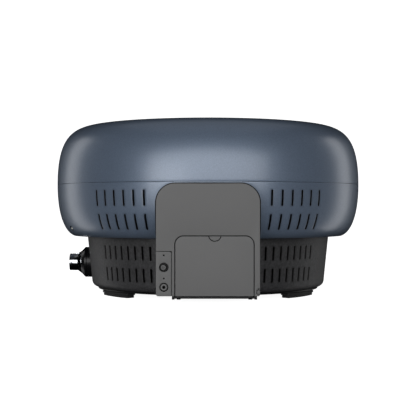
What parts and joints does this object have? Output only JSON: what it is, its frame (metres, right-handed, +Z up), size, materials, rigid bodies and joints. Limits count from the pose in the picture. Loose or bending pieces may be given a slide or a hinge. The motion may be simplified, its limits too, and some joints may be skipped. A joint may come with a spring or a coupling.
{
  "type": "gnss receiver",
  "caption": "Round dome-shaped satellite positioning receiver with vented lower shell and base, a flat panel block with a hinged battery door and ports, and a round side connector.",
  "frame": {"origin": "on the dome's axis, at the height of the soles of the feet", "axes": "+Z up along the dome's axis; -Y the way the panel block and battery door face; -X the way the round connector faces"},
  "size_m": [0.196, 0.1986, 0.1113],
  "materials": {
    "dome_paint": "satin blue-grey metallic paint",
    "base_plastic": "fine textured moulding",
    "panel_paint": "fine matte grey moulding",
    "black_plastic": "matte",
    "black_metal": "semi-gloss black coating",
    "rubber": "matte",
    "chrome": "polished plating",
    "silver": "bright plate",
    "brass": "machined",
    "white_plastic": "smooth",
    "ceramic": "fired ceramic",
    "board_green": "solder mask",
    "lens": "clear moulding"
  },
  "bodies": {
    "receiver": {"top_dome": "dome_paint", "lower_shell": "dome_paint", "vent_plug": "silver", "seam_band": "rubber", "base_housing": "base_plastic", "bottom_plate": "black_plastic", "bottom_screw_1": "silver", "bottom_screw_2": "silver", "bottom_screw_3": "silver", "bottom_screw_4": "silver", "foot_1": "rubber", "foot_2": "rubber", "foot_3": "rubber", "foot_4": "rubber", "pole_insert": "brass", "rear_housing": "panel_paint", "tether_lug": "panel_paint", "port_plate": "panel_paint", "button_collar": "rubber", "button_switch": "black_plastic", "status_led": "lens", "charge_led": "lens", "charge_socket": "black_plastic", "charge_sleeve": "silver", "door_hinge_pin": "black_metal", "battery_pack": "black_plastic", "battery_pull_tab": "lens", "battery_bay": "black_plastic", "card_holder": "black_plastic", "sim_tray": "silver", "service_port": "silver", "connector_body": "chrome", "connector_ring": "black_metal", "connector_insulator": "white_plastic", "connector_contact": "brass", "connector_nut": "silver", "ground_plane": "silver", "lower_patch": "ceramic", "upper_patch": "ceramic", "lna_shield": "silver", "main_board": "board_green", "gnss_module": "silver", "radio_module": "silver", "heat_sink": "silver", "fan_frame": "black_plastic", "board_post_1": "silver", "board_post_2": "silver", "board_post_3": "silver", "plane_post_1": "silver", "plane_post_2": "silver", "plane_post_3": "silver", "antenna_cable": "black_plastic", "radio_cable": "black_plastic"},
    "door": {"battery_door": "panel_paint", "door_seal": "rubber", "door_pad": "rubber"},
    "latch": {"door_latch": "panel_paint"},
    "button": {"power_button": "panel_paint"},
    "fan": {"fan_rotor": "black_plastic"}
  },
  "joints": [
    {"name": "door_hinge", "type": "hinge", "parent": "receiver", "child": "door", "pos_m": [0, -0.0967, 0.0044], "axis": [1, 0, 0], "range_deg": [0, 90]},
    {"name": "latch_press", "type": "slide", "parent": "door", "child": "latch", "axis": [0, 1, 0], "range_m": [0, 0.0008], "stiffness_N_per_m": 400},
    {"name": "button_press", "type": "slide", "parent": "receiver", "child": "button", "axis": [0, 1, 0], "range_m": [0, 0.0008], "stiffness_N_per_m": 400},
    {"name": "fan_spin", "type": "hinge", "parent": "receiver", "child": "fan", "pos_m": [0, 0.034, 0.041], "axis": [0, 0, 1], "continuous": true}
  ]
}
